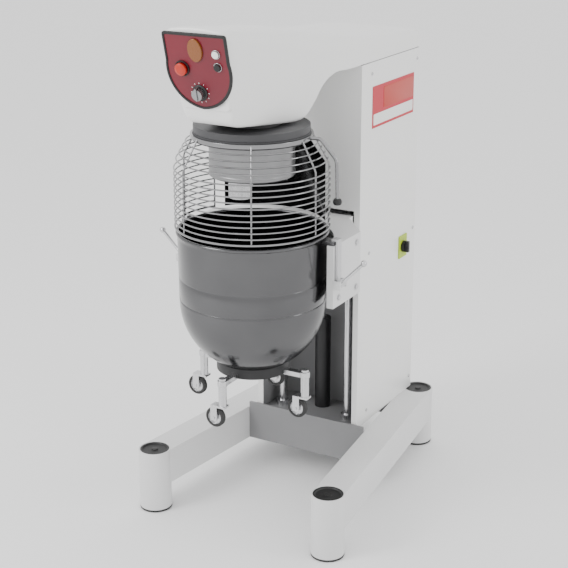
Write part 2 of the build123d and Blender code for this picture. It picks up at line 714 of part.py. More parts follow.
def isolator_plate():
    y, z = ISOLATOR_AT
    plate = block(COL_X, COL_X + 5, y - 34, y + 34, z - 44, z + 44)
    return plate - side_disc(5 + RUNNING_FIT, COL_X, COL_X + 6)


def isolator_knob():
    x0 = COL_X + 5 + STAND_OFF
    y, z = ISOLATOR_AT
    knob = side_disc(5, COL_X + 1, x0 + 1) + side_disc(22, x0, x0 + 10)
    return knob + block(x0, x0 + 24, y - 7, y + 7, z - 21, z + 21)


def side_badge():
    return block(COL_X, COL_X + 1.5, 196, 547, 1361, 1512)


def cable_gland():
    x, z = GLAND_AT
    gland = Plane(origin=(x, COL_Y1, z), z_dir=ALONG_Y) * extrude(RegularPolygon(16, 6), 8)
    gland += spigot((x, COL_Y1, z), ALONG_Y, 11, 28)
    return gland - spigot((x, COL_Y1 + 4, z), ALONG_Y, 5, 30)


def cover_screws():
    screws = []
    for y in (190, 575):
        for z in (280, 900, 1560):
            screws += both_sides(spigot((COL_X, y, z), ALONG_X, 6, 3))
    return screws


# ---------------------------------------------------------------- write every node
def write_base():
    right, left = both_sides(leg())
    save("leg_right", right)
    save("leg_left", left)
    save("foot_posts", at_posts(foot_post))
    save("post_caps", at_posts(post_cap))
    save("levelling_feet", at_posts(foot_pad))
    save("front_cross_plate", cross_plate(COL_Y0 - 2 - CROSS_T, 260, 251))
    save("rear_cross_plate", cross_plate(560, 205, LEG_Z1))


def write_column():
    right, left = both_sides(side_panel())
    save("side_panel_right", right)
    save("side_panel_left", left)
    save("column_base", column_base())
    save("rear_panel", rear_panel())
    save("front_cover", front_cover())
    save("column_liner", column_liner())
    save("guide_rods", [guide_rod(ROD_X), guide_rod(-ROD_X)])
    save("lift_cylinder", lift_cylinder())
    save("isolator_plate", isolator_plate())
    save("isolator_knob", isolator_knob())
    save("side_badge", side_badge())
    save("cable_gland", cable_gland())
    save("cover_screws", cover_screws())


def write_lift():
    frame = carriage()
    for bracket in both_sides(clamp_brackets()):
        frame += bracket
    save("carriage", frame)
    save("lift_rod", lift_rod())
    right, left = both_sides(clamp())
    save("clamp_right", right)
    save("clamp_left", left)


def write_bowl():
    save("bowl_shell", bowl_shell())
    save("bowl_lugs", both_sides(bowl_lug()))
    save("bowl_base", bowl_base())
    for i in range(4):
        save(f"caster_fork_{i + 1}", caster_place(i) * caster_fork())
        save(f"caster_wheel_{i + 1}", caster_place(i) * caster_wheel())


def write_head():
    save("hood", hood())
    save("neck_housing", neck_housing())
    save("head_frame", head_frame())
    save("main_bearings", main_bearings())
    save("motor", motor())
    save("motor_pulley", motor_pulley())
    save("drive_belt", drive_belt())
    save("ring_gear", ring_gear())
    save("planet_pinion", planet_pinion())
    save("planet_drum", planet_drum())
    save("main_shaft", cyl(MAIN_SHAFT_R, MAIN_SHAFT_Z, BELT_Z1 + 4, 0, BOWL_Y))
    save("driven_pulley", Pos(0, BOWL_Y, 0) * pulley_wheel(DRIVEN_R, MAIN_SHAFT_R))
    save("tool_shaft", tool_shaft())


def write_guard():
    save("guard_track", guard_track())
    save("guard_cage", guard_cage())
    save("rear_shield", rear_shield())
    save("guard_handle", guard_handle())
    save("guard_knob", guard_knob())


def write_panel():
    save("control_bezel", control_bezel())
    save("control_face", control_face())
    save("panel_badge", panel_badge())
    save("estop_button", push_button(ESTOP_AT, 21, 12, ESTOP_PRESS, 12))
    save("start_button", push_button(START_AT, 12, 7, PRESS, 6))
    save("stop_button", push_button(STOP_AT, 12, 7, PRESS, 6))
    save("timer_knob", timer_knob())


os.makedirs("parts", exist_ok=True)
write_base()
write_column()
write_lift()
write_bowl()
write_head()
write_guard()
write_panel()
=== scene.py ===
import json
import math
import bmesh
import bpy
from mathutils import Matrix, Vector


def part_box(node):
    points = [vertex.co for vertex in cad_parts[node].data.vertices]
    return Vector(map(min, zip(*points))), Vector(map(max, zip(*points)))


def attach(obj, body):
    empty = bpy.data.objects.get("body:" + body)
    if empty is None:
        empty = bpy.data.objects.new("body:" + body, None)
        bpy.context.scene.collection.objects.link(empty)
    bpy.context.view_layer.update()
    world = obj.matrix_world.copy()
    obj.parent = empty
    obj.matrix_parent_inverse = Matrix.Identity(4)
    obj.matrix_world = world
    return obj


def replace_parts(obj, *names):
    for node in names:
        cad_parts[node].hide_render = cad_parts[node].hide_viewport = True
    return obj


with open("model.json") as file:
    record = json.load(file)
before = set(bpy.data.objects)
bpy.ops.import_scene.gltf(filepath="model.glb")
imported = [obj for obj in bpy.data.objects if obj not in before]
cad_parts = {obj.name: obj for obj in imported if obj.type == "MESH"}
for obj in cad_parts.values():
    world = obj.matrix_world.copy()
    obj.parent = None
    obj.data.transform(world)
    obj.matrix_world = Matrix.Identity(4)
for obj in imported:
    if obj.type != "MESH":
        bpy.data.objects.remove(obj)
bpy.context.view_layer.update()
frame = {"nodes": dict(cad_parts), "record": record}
NODES = frame["nodes"]
BODY_OF = {node: body for body, nodes in frame["record"]["behaviour"]["bodies"].items() for node in nodes}
SLOT_OF = {row["node"]: row["material_slot"] for row in frame["record"]["subparts"]}
MM = 0.001


def middle(node):
    low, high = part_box(node)
    return (low + high) / 2


AXIS_Y = middle("main_shaft").y         # the bowl, guard and drum are round this vertical axis


def behind(mm, z=0.0, x=0.0):
    """A point so many millimetres behind the bowl's axis."""
    return Vector((x * MM, AXIS_Y + mm * MM, z * MM))


# ------------------------------------------------------------------ materials
# tone: two colours that a large soft noise mixes; grain: size of the fine noise along x, y and z, in mm
FINISHES = {
    # plate_grey: painted shade. The mid-dark grey stands for the shade in the column's recess and on the cross
    # plates under the carriage.
    "plate_grey": dict(tone=((.20, .20, .205), (.25, .25, .255)),
                       rough=(.4, .55), grain=(2, 2, 2), bump=.06),
    # shield_steel: painted shade. The stainless reflectance is lowered to near-black to stand for the shadow between
    # the drum and the column.
    "shield_steel": dict(tone=((.13, .13, .135), (.18, .18, .185)),
                         rough=(.14, .24), grain=(60, 60, .9), bump=.02, metallic=1),
    "body_paint": dict(tone=((.84, .84, .83), (.81, .81, .80)),
                       rough=(.30, .40), grain=(1.4, 1.4, 1.4), bump=.05, coat=.25),
    "frame_paint": dict(tone=((.70, .70, .70), (.66, .66, .66)),
                        rough=(.34, .46), grain=(1.4, 1.4, 1.4), bump=.06, coat=.15),
    # dark_paint: painted shade. The near-black stands for the shadow under the hood round the neck housing, between
    # the drum and the column.
    "dark_paint": dict(tone=((.035, .035, .038), (.06, .06, .063)),
                       rough=(.42, .58), grain=(2, 2, 2), bump=.06),
    "cast_metal": dict(tone=((.30, .30, .31), (.38, .38, .39)),
                       rough=(.42, .6), grain=(3, 3, 3), bump=.25, metallic=1),
    "black_plastic": dict(tone=((.004, .004, .004), (.009, .009, .009)),
                          rough=(.42, .58), grain=(.8, .8, .8), bump=.08),
    "rubber": dict(tone=((.02, .02, .02), (.035, .035, .035)),
                   rough=(.7, .85), grain=(1, 1, 1), bump=.15),
    "bright_steel": dict(tone=((.58, .58, .59), (.68, .68, .69)),
                         rough=(.18, .32), grain=(1, 1, 60), bump=.02, metallic=1),
    # dark_steel: painted shade. The near-black stands for the shadow on the foot ring under the bowl.
    "dark_steel": dict(tone=((.006, .006, .007), (.012, .012, .013)),
                       rough=(.4, .55), grain=(2, 2, 2), bump=.05),
    # bowl_steel: painted reflection. The reflectance is lowered to .10-.14, far below real stainless, so the bowl
    # shows a dark surround it does not have.
    "bowl_steel": dict(tone=((.10, .10, .103), (.14, .14, .143)),
                       rough=(.14, .24), grain=(60, 60, .9), bump=.03, metallic=1),
    "wire_steel": dict(tone=((.26, .26, .265), (.34, .34, .345)),
                       rough=(.12, .22), grain=(4, 4, 4), bump=.01, metallic=1),
    "fork_steel": dict(tone=((.55, .55, .56), (.66, .66, .67)),
                       rough=(.2, .34), grain=(3, 3, 3), bump=.03, metallic=1),
    "drum_metal": dict(tone=((.28, .28, .285), (.38, .38, .385)),
                       rough=(.28, .4), grain=(50, 50, .8), bump=.03, metallic=.85),
    "panel_red": dict(tone=((.20, .0005, .014), (.09, .0005, .009)),
                      rough=(.32, .42), grain=(2, 2, 2), bump=.01, coat=.08),
    "badge_amber": dict(tone=((.26, .075, .004), (.16, .045, .002)),
                        rough=(.25, .35), grain=(2, 2, 2), bump=.01, coat=.25),
    "side_red": dict(tone=((.52, .001, .022), (.46, .001, .018)),
                     rough=(.35, .45), grain=(1, 1, 1), bump=.01, coat=.05),
    "button_red": dict(tone=((.50, .02, .002), (.42, .014, .002)),
                       rough=(.32, .42), grain=(1, 1, 1), bump=.02, coat=.1),
    "button_white": dict(tone=((.86, .86, .84), (.80, .80, .78)),
                         rough=(.2, .3), grain=(1, 1, 1), bump=.02, coat=.4),
    "knob_grey": dict(tone=((.24, .24, .245), (.32, .32, .325)),
                      rough=(.22, .34), grain=(1, 1, 30), bump=.03, metallic=.9),
    "plate_yellow": dict(tone=((.42, .56, .012), (.36, .50, .01)),
                         rough=(.35, .45), grain=(1, 1, 1), bump=.02, coat=.05),
}
TONE_SIZE_MM = 180


def noise(tree, size, coordinates, detail):
    """A noise whose features are about size millimetres across, along x, y and z."""
    place = tree.nodes.new("ShaderNodeMapping")
    place.inputs["Scale"].default_value = [1 / (mm * MM) for mm in size]
    tree.links.new(coordinates, place.inputs["Vector"])
    texture = tree.nodes.new("ShaderNodeTexNoise")
    texture.inputs["Scale"].default_value = 1.0
    texture.inputs["Detail"].default_value = detail
    tree.links.new(place.outputs["Vector"], texture.inputs["Vector"])
    return texture.outputs["Fac"]


def finish(slot, tone, rough, grain, bump, metallic=0.0, coat=0.0):
    """A shader with a soft change of tone, a fine grain in its gloss and a shallow relief of the same grain."""
    mat = bpy.data.materials.new(slot + "_finish")
    mat.use_nodes = True
    tree = mat.node_tree
    shader = tree.nodes["Principled BSDF"]
    shader.inputs["Metallic"].default_value = metallic
    shader.inputs["Coat Weight"].default_value = coat
    shader.inputs["Coat Roughness"].default_value = 0.12
    coordinates = tree.nodes.new("ShaderNodeTexCoord").outputs["Object"]
    patches = noise(tree, (TONE_SIZE_MM,) * 3, coordinates, 3.0)
    mix = tree.nodes.new("ShaderNodeMix")
    mix.data_type = "RGBA"
    mix.inputs["A"].default_value = (*tone[0], 1)
    mix.inputs["B"].default_value = (*tone[1], 1)
    tree.links.new(patches, mix.inputs["Factor"])
    tree.links.new(mix.outputs["Result"], shader.inputs["Base Color"])
    fine = noise(tree, grain, coordinates, 4.0)
    gloss = tree.nodes.new("ShaderNodeMapRange")
    gloss.inputs["From Min"].default_value = 0.3
    gloss.inputs["From Max"].default_value = 0.7
    gloss.inputs["To Min"].default_value = rough[0]
    gloss.inputs["To Max"].default_value = rough[1]
    tree.links.new(fine, gloss.inputs["Value"])
    tree.links.new(gloss.outputs["Result"], shader.inputs["Roughness"])
    relief = tree.nodes.new("ShaderNodeBump")
    relief.inputs["Strength"].default_value = bump
    relief.inputs["Distance"].default_value = 0.5 * MM
    tree.links.new(fine, relief.inputs["Height"])
    tree.links.new(relief.outputs["Normal"], shader.inputs["Normal"])
    return mat


MATERIALS = {slot: finish(slot, **values) for slot, values in FINISHES.items()}
for node, obj in NODES.items():
    obj.data.materials.clear()
    obj.data.materials.append(MATERIALS[SLOT_OF[node]])


# ------------------------------------------------------------------ mesh helpers
SMOOTH_BELOW = math.radians(32)


def piece(name, bm, body, slot):
    """A finished object from a bmesh, shaded smooth up to a fold, riding on its body."""
    bmesh.ops.recalc_face_normals(bm, faces=bm.faces)
    mesh = bpy.data.meshes.new(name)
    bm.to_mesh(mesh)
    bm.free()
    for face in mesh.polygons:
        face.use_smooth = True
    mesh.set_sharp_from_angle(angle=SMOOTH_BELOW)
    mesh.materials.append(MATERIALS[slot])
    obj = bpy.data.objects.new(name, mesh)
    bpy.context.scene.collection.objects.link(obj)
    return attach(obj, body)


def looking(origin, direction):
    """A matrix whose z axis is direction, at origin."""
    return Matrix.Translation(origin) @ Vector(direction).to_track_quat("Z", "Y").to_matrix().to_4x4()


def rounded(points, radius, steps=5, closed=True):
    """An outline with its corners rounded; a point may carry its own radius as a third number."""
    result = []
    count = len(points)
    for i, point in enumerate(points):
        here = Vector(point[:2])
        r = point[2] if len(point) > 2 else radius
        if r == 0 or (not closed and i in (0, count - 1)):
            result.append(here)
            continue
        before = Vector(points[i - 1][:2]) - here
        after = Vector(points[(i + 1) % count][:2]) - here
        half = before.angle(after) / 2
        reach = min(r / math.tan(half), before.length * 0.49, after.length * 0.49)
        start = here + before.normalized() * reach
        end = here + after.normalized() * reach
        for k in range(steps + 1):
            t = k / steps
            result.append(start * (1 - t) ** 2 + here * 2 * t * (1 - t) + end * t ** 2)
    return result


def turned(bm, profile, place, segments=64, closed=True):
    """Turns a (radius, height) outline, in millimetres, about the z axis of place."""
    rings = []
    for r, z in profile:
        if r < 1e-6:
            rings.append([bm.verts.new(place @ Vector((0, 0, z * MM)))] * segments)
            continue
        ring = []
        for k in range(segments):
            a = 2 * math.pi * k / segments
            ring.append(bm.verts.new(place @ Vector((r * math.cos(a) * MM, r * math.sin(a) * MM, z * MM))))
        rings.append(ring)
    pairs = list(zip(rings, rings[1:] + rings[:1])) if closed else list(zip(rings, rings[1:]))
    for low, high in pairs:
        for k in range(segments):
            n = (k + 1) % segments
            corners = [low[k], low[n], high[n], high[k]]
            unique = list(dict.fromkeys(corners))
            if len(unique) > 2:
                bm.faces.new(unique)


def swept(bm, path, radius, sides=10):
    """A round bar of a radius in metres along a list of points, with flat ends."""
    previous = None
    side = None
    for i, point in enumerate(path):
        ahead = path[min(i + 1, len(path) - 1)] - path[max(i - 1, 0)]
        ahead.normalize()
        if side is None:
            side = ahead.orthogonal().normalized()
        side = (side - ahead * side.dot(ahead)).normalized()
        up = ahead.cross(side)
        ring = []
        for k in range(sides):
            a = 2 * math.pi * k / sides
            ring.append(bm.verts.new(point + (side * math.cos(a) + up * math.sin(a)) * radius))
        if previous is None:
            bm.faces.new(ring[::-1])
        else:
            for k in range(sides):
                n = (k + 1) % sides
                bm.faces.new([previous[k], previous[n], ring[n], ring[k]])
        previous = ring
    bm.faces.new(previous)


def plate(bm, outline, z0, z1, place, edge=0.6, steps=2):
    """A slab with softened rims: an outline in millimetres between two heights of place's frame."""
    low = [bm.verts.new(place @ Vector((p[0] * MM, p[1] * MM, z0 * MM))) for p in outline]
    high = [bm.verts.new(place @ Vector((p[0] * MM, p[1] * MM, z1 * MM))) for p in outline]
    count = len(outline)
    base = bm.faces.new(low[::-1])
    top = bm.faces.new(high)
    for k in range(count):
        bm.faces.new([low[k], low[(k + 1) % count], high[(k + 1) % count], high[k]])
    rims = list(base.edges) + list(top.edges)
    if edge:
        bmesh.ops.bevel(bm, geom=rims, offset=edge * MM, segments=steps, affect="EDGES", profile=0.5)


def softened(node, width_mm, segments=2, slot=None):
    """Stands for a CAD node with the same shape and rounded edges."""
    bm = bmesh.new()
    bm.from_mesh(NODES[node].data)
    bmesh.ops.remove_doubles(bm, verts=bm.verts, dist=1e-6)
    bmesh.ops.dissolve_limit(bm, angle_limit=math.radians(0.5), verts=bm.verts, edges=bm.edges)
    obj = piece(node + "_skin", bm, BODY_OF[node], slot or SLOT_OF[node])
    bevel = obj.modifiers.new("rounded_edges", "BEVEL")
    bevel.width = width_mm * MM
    bevel.segments = segments
    bevel.limit_method = "ANGLE"
    bevel.angle_limit = math.radians(40)
    bevel.harden_normals = True
    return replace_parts(obj, node)


# ------------------------------------------------------------------ hood
# millimetres behind the bowl's axis: half width low on the head, half width at its top
WIDTHS = [(-364, 52, 96), (-319, 70, 122), (-249, 84, 128), (-109, 107, 137), (81, 142, 166),
          (156, 175, 190), (226, 200, 208), (311, 212, 212), (888, 212, 212)]
WIDTH_LOW_Z = 1440
WIDTH_HIGH_Z = 1820
# rows from the nose to the back: the lower point and the upper point, each (behind the axis, height),
# then the radius of the upper and of the lower corners
HOOD_ROWS = [
    ((-279, 1540), (-344, 1799), 30, 16), ((-264, 1512), (-319, 1799), 34, 16), ((-239, 1488), (-279, 1797), 40, 14),
    ((-179, 1478), (-199, 1788), 46, 12), ((-109, 1470), (-119, 1779), 50, 12), ((-19, 1461), (-29, 1769), 54, 12),
    ((66, 1456), (56, 1760), 60, 12), ((101, 1468), (91, 1753), 62, 12), ((131, 1508), (121, 1748), 60, 12),
    ((156, 1553), (146, 1743), 56, 10), ((186, 1584), (176, 1737), 50, 8), ((226, 1602), (221, 1729), 44, 5),
    ((281, 1602), (281, 1718), 36, 3), ((341, 1602), (341, 1708), 30, 2), ((390, 1602), (390, 1699), 28, 2),
    ((580, 1602), (580, 1684), 26, 2), ((840, 1602), (840, 1667), 24, 2), ((878, 1602), (872, 1664), 20, 2),
]
NOSE_ROUND = 6
HOOD_BACK = 888
HOOD_CROWN = 5
HOOD_SHEET = 3 * MM
SUB_ROWS = 4
COLUMN_FRONT = 390                      # behind the axis; the hood is open underneath from here back
COLLAR_HOLE = 118


def stepped(table, value, column):
    """Straight-line reading of a column of a table sorted by its first entry."""
    if value <= table[0][0]:
        return table[0][column]
    for low, high in zip(table, table[1:]):
        if value <= high[0]:
            share = (value - low[0]) / (high[0] - low[0])
            return low[column] * (1 - share) + high[column] * share
    return table[-1][column]


def half_width(y, z):
    reach = (-24, -12, 0, 12, 24)
    low = sum(stepped(WIDTHS, y + d, 1) for d in reach) / len(reach)
    high = sum(stepped(WIDTHS, y + d, 2) for d in reach) / len(reach)
    share = (z - WIDTH_LOW_Z) / (WIDTH_HIGH_Z - WIDTH_LOW_Z)
    return low * (1 - share) + high * share


def catmull(a, b, c, d, t):
    return 0.5 * (2 * b + (c - a) * t + (2 * a - 5 * b + 4 * c - d) * t ** 2 + (3 * b - a - 3 * c + d) * t ** 3)


def hood_rows():
    """Finely spaced rows: (lower y, z, upper y, z, upper radius, lower radius, inset)."""
    flat = [(*low, *high, top_r, low_r) for low, high, top_r, low_r in HOOD_ROWS]
    rows = []
    for i in range(len(flat) - 1):
        a, b = flat[max(i - 1, 0)], flat[i]
        c, d = flat[i + 1], flat[min(i + 2, len(flat) - 1)]
        for k in range(SUB_ROWS):
            rows.append([catmull(*values, k / SUB_ROWS) for values in zip(a, b, c, d)] + [0])
    rows.append([*flat[-1], 0])
    normal = nose_normal()
    first = rows.pop(0)

    def depth(row):
        """How far the row lies behind the nose's plane, at its nearer end."""
        return min((first[i] - row[i]) * normal.y + (first[i + 1] - row[i + 1]) * normal.z for i in (0, 2))

    rows = [row for row in rows if depth(row) > NOSE_ROUND + 1]
    rim = []
    rim.append([*first[:6], NOSE_ROUND + 4])
    for k in range(7):
        a = math.radians(15 * k)
        back = NOSE_ROUND * (1 - math.cos(a))
        dy, dz = -normal.y * back, -normal.z * back
        row = [first[0] + dy, first[1] + dz, first[2] + dy, first[3] + dz, first[4], first[5]]
        rim.append(row + [NOSE_ROUND * (1 - math.sin(a))])
    last = rows[-1]
    tail = []
    for back, inset in ((884, 1), (887, 4), (HOOD_BACK, 9)):
        tail.append([back, last[1], back, last[3] - 1, last[4], last[5], inset])
    return rim + rows + tail


def nose_normal():
    (low_y, low_z), (top_y, top_z) = HOOD_ROWS[0][0], HOOD_ROWS[0][1]
    return Vector((0, -(top_z - low_z), top_y - low_y)).normalized()


def hood_loop(row):
    """One closed loop of (x, y, z) in millimetres, from the middle of the underside round the right side."""
    low_y, low_z, top_y, top_z, top_r, low_r, inset = row
    length = math.hypot(top_y - low_y, top_z - low_z)
    top_r = max(top_r - inset, 4)
    low_r = max(low_r - inset, 1)

    def at(v, pull):
        share = v / length
        y, z = low_y + (top_y - low_y) * share, low_z + (top_z - low_z) * share
        return (max(half_width(y, z) - inset - pull, 0.5), y, z)

    side = [at(inset + low_r * (1 - math.cos(math.radians(a))), low_r * (1 - math.sin(math.radians(a))))
            for a in (0, 30, 60, 90)]
    side += [at(inset + low_r + (length - 2 * inset - low_r - top_r) * s, 0) for s in (0.2, 0.4, 0.6, 0.8)]
    side += [at(length - inset - top_r * (1 - math.sin(math.radians(a))), top_r * (1 - math.cos(math.radians(a))))
             for a in range(0, 91, 15)]
    floor = [(side[0][0] * s, *side[0][1:]) for s in (0.2, 0.4, 0.6, 0.8)]
    edge = side[-1]
    roof = [(edge[0] * s, edge[1], edge[2] + HOOD_CROWN * (1 - s * s)) for s in (0.75, 0.5, 0.25, 0)]
    right = floor + side + roof
    left = [(-x, y, z) for x, y, z in reversed(right[:-1])]
    centre = (0, side[0][1], side[0][2])
    return [centre] + right + left, len(floor)


def shield(grow):
    """Shield outline in millimetres: flat top, upright sides and a round point, grown on every side."""
    x, top, low = 116 + grow, 124 + grow, -128 - grow
    bend = Vector((x * 0.74, -86 - 0.7 * grow))
    right = arc(Vector((x, 30)), bend, Vector((0, low)), 24)
    left = [Vector((-p.x, p.y)) for p in reversed(right[:-1])]
    corner = max(10 + grow * 0.5, 2)
    upper = rounded([(-x, 30, 0), (-x, top, corner), (x, top, corner), (x, 30, 0)], 0, closed=False)
    return right + left + upper[1:-1]


def arc(a, b, c, steps):
    """Points of the circle through three points, from a by b to c."""
    d = 2 * (a.x * (b.y - c.y) + b.x * (c.y - a.y) + c.x * (a.y - b.y))
    ux = (a.length_squared * (b.y - c.y) + b.length_squared * (c.y - a.y) + c.length_squared * (a.y - b.y)) / d
    uy = (a.length_squared * (c.x - b.x) + b.length_squared * (a.x - c.x) + c.length_squared * (b.x - a.x)) / d
    centre = Vector((ux, uy))
    start = math.atan2(a.y - uy, a.x - ux)
    turn = math.atan2(c.y - uy, c.x - ux) - start
    if turn > 0:
        turn -= 2 * math.pi
    r = (a - centre).length
    return [centre + Vector((math.cos(start + turn * k / steps), math.sin(start + turn * k / steps))) * r
            for k in range(steps + 1)]


def nose_place():
    """Matrix of the control panel: x across, y up the slant, z outward."""
    (low_y, low_z), (top_y, top_z) = HOOD_ROWS[0][0], (HOOD_ROWS[0][1][0], HOOD_ROWS[0][1][1] + 1)
    up = Vector((0, top_y - low_y, top_z - low_z)).normalized()
    out = Vector((1, 0, 0)).cross(up)
    origin = behind((low_y + top_y) / 2, (low_z + top_z) / 2)
    return Matrix.Translation(origin) @ Matrix((Vector((1, 0, 0)), up, out)).transposed().to_4x4()


def nose_window():
    """Opening behind the panel: the shield outline, kept inside the rounded edge of the nose."""
    (low_y, low_z), (top_y, top_z) = HOOD_ROWS[0][0], HOOD_ROWS[0][1]
    length = math.hypot(top_y - low_y, top_z - low_z)
    points = []
    for p in shield(-16):
        share = p.y / length + 0.5
        limit = half_width(low_y + (top_y - low_y) * share, low_z + (top_z - low_z) * share) - NOSE_ROUND - 10
        point = Vector((max(-limit, min(limit, p.x)), p.y))
        if not points or (point - points[-1]).length > 0.5:
            points.append(point)
    return points


def hood_skin():
    bm = bmesh.new()
    rings = []
    rows = hood_rows()
    for row in rows:
        loop, floor_count = hood_loop(row)
        rings.append([bm.verts.new(behind(y, z, x)) for x, y, z in loop])
    count = len(rings[0])
    floor = set(range(floor_count + 1)) | set(range(count - floor_count - 1, count))
    for i in range(len(rings) - 1):
        y = rows[i][0]
        for k in range(count):
            n = (k + 1) % count
            corners = [rings[i][k], rings[i][n], rings[i + 1][n], rings[i + 1][k]]
            if k in floor:
                centre = sum((v.co for v in corners), Vector()) / 4 - behind(0)
                if y > COLUMN_FRONT or math.hypot(centre.x, centre.y) < COLLAR_HOLE * MM:
                    continue
            bm.faces.new(corners)
    bm.faces.new(rings[-1])
    place = nose_place()
    window = [bm.verts.new(place @ Vector((p.x * MM, p.y * MM, 0))) for p in nose_window()]
    rim = [bm.edges.get((rings[0][k], rings[0][(k + 1) % count])) for k in range(count)]
    inner = [bm.edges.new((window[k], window[(k + 1) % len(window)])) for k in range(len(window))]
    bmesh.ops.triangle_fill(bm, use_beauty=True, use_dissolve=False, edges=rim + inner)
    obj = piece("hood_skin", bm, "root", "body_paint")
    wall = obj.modifiers.new("sheet", "SOLIDIFY")
    wall.thickness = HOOD_SHEET
    wall.offset = -1
    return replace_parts(obj, "hood")


# ------------------------------------------------------------------ bowl
BOWL_SHEET = 3
CASTER_CIRCLE = 205


def bowl_skin():
    """Spun bowl with a rolled rim, two shallow swaged lines and a round bottom."""
    low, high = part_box("bowl_shell")
    bottom, rim = low.z / MM, high.z / MM
    knee = bottom + 252
    outside = [(252 * math.cos(math.radians(a)), knee + 252 * math.sin(math.radians(a))) for a in range(-90, 0, 3)]
    wall = [(252, knee), (252.6, knee + 6), (251.2, knee + 9), (252.9, knee + 12), (253.4, 920), (252.2, 924),
            (253.5, 928), (255.2, rim - 24), (256, rim - 14)]
    bead = [(255 + 6 * math.cos(math.radians(a)), rim - 6 + 6 * math.sin(math.radians(a)))
            for a in range(-60, 201, 20)]
    inner_wall = [(252.5, rim - 20), (250, 926), (249, knee)]
    inside = [(249 * math.cos(math.radians(a)), knee + 249 * math.sin(math.radians(a))) for a in range(-3, -91, -3)]
    bm = bmesh.new()
    outside[0] = (0, bottom)
    inside[-1] = (0, bottom + BOWL_SHEET)
    turned(bm, outside + wall + bead + inner_wall + inside, looking(behind(0), (0, 0, 1)), 160, closed=False)
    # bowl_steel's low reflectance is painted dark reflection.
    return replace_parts(piece("bowl_skin", bm, "bowl", "bowl_steel"), "bowl_shell")


def base_skin():
    """Shallow foot ring under the bowl, with four bright arms that carry the casters."""
    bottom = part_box("bowl_base")[0].z / MM
    bm = bmesh.new()
    ring = rounded([(98, bottom), (128, bottom), (128, bottom + 36.5), (113, bottom + 28.5), (98, bottom + 21.5)],
                   1.5)
    turned(bm, ring, looking(behind(0), (0, 0, 1)), 128)
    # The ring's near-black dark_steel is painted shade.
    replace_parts(piece("base_ring", bm, "bowl", "dark_steel"), "bowl_base")
    bm = bmesh.new()
    for i in range(4):
        place = Matrix.Translation(behind(0, bottom)) @ Matrix.Rotation(math.radians(90 * i), 4, "Z")
        arm = rounded([(120, -13), (193, -13), (193, 13), (120, 13)], 2)
        plate(bm, arm, 0, 16, place, edge=2.5, steps=3)
        eye = rounded([(8.1, 0), (17, 0), (17, 20), (8.1, 20)], 1.5)
        turned(bm, eye, place @ Matrix.Translation((CASTER_CIRCLE * MM, 0, 0)), 48)
    piece("base_arms", bm, "bowl", "fork_steel")


# ------------------------------------------------------------------ guard
def around(r, degrees, z):
    """A point round the bowl's axis; 0 degrees is straight ahead and 90 is on the right."""
    a = math.radians(degrees)
    return behind(-r * math.cos(a), z, r * math.sin(a))


def ring_wire(bm, r, z, centre, half, radius):
    steps = max(12, int(half / 1.5))
    swept(bm, [around(r, centre - half + 2 * half * k / steps, z) for k in range(steps + 1)], radius * MM)


def upright(bm, outline, degrees, radius):
    path = rounded(outline, 14, steps=8, closed=False)
    swept(bm, [around(p.x, degrees, p.y) for p in path], radius * MM, 12)


def guard():
    """Wire cage: level rings up the side and over the shoulder, on bent uprights under a flat hoop."""
    bm = bmesh.new()
    crown = Vector((204, 1414))
    bend = Vector((257.5, 1318))
    half = 118
    for degrees in (-118, -84, -30, 30, 84, 118):
        upright(bm, [crown, (*bend, 45), (bend.x, 1100)], degrees, 3)
    ring_wire(bm, 262, 1102, 0, half, 3.5)
    for i in range(1, 11):
        ring_wire(bm, 262, 1102 + 20 * i, 0, half, 2.5)
    slope = (crown - bend).normalized()
    for share in (0.14, 0.34, 0.54, 0.74):
        place = bend.lerp(crown, share) + Vector((slope.y, -slope.x)) * 4.5
        ring_wire(bm, place.x, place.y, 0, half, 2.5)
    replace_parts(piece("guard_wires", bm, "guard", "wire_steel"), "guard_cage")
    bm = bmesh.new()
    hoop = rounded([(197.4, 1405.4), (205.9, 1405.4), (205.9, 1419.9), (197.4, 1419.9)], 1.5)
    turned(bm, hoop, looking(behind(0), (0, 0, 1)), 128)
    piece("guard_hoop", bm, "guard", "wire_steel")


# ------------------------------------------------------------------ control panel
ESTOP_AT = (-58, 6)
KNOB_AT = (-6, -72)
START_AT = (74, 62)
STOP_AT = (74, 20)


def on_panel(at, lift=0.0):
    return nose_place() @ Matrix.Translation(Vector((at[0], at[1], lift)) * MM)


def loft_rings(bm, rings):
    for low, high in zip(rings, rings[1:]):
        count = len(low)
        for k in range(count):
            bm.faces.new([low[k], low[(k + 1) % count], high[(k + 1) % count], high[k]])


def bezel():
    """Raised rim of the panel, rounded over."""
    bm = bmesh.new()
    place = nose_place()
    section = [(0, 0), (0, 5), (-1.2, 7.2), (-3.2, 8), (-6, 8), (-8, 7.2), (-9, 5.2), (-9, 0)]
    rings = [[bm.verts.new(place @ Vector((p.x * MM, p.y * MM, z * MM))) for p in shield(grow)]
             for grow, z in section]
    loft_rings(bm, rings + rings[:1])
    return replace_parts(piece("bezel_rim", bm, "root", "black_plastic"), "control_bezel")


def dial_marks():
    """Twelve ticks round the timer knob."""
    bm = bmesh.new()
    for i in range(12):
        turn = Matrix.Rotation(math.radians(30 * i), 4, "Z")
        outline = rounded([(-0.9, 30), (0.9, 30), (0.9, 34), (-0.9, 34)], 0.3, steps=2)
        plate(bm, outline, 5, 5.5, on_panel(KNOB_AT) @ turn, edge=0)
    return piece("dial_marks", bm, "root", "button_white")


def fitting(name, node, at, parts):
    """A turned fitting on the panel: (slot, outline) pairs, the first standing for the CAD node."""
    for i, (slot, outline) in enumerate(parts):
        bm = bmesh.new()
        turned(bm, outline, on_panel(at), 64, closed=False)
        obj = piece(name if i == 0 else f"{name}_{i}", bm, BODY_OF[node], slot)
        if i == 0:
            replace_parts(obj, node)


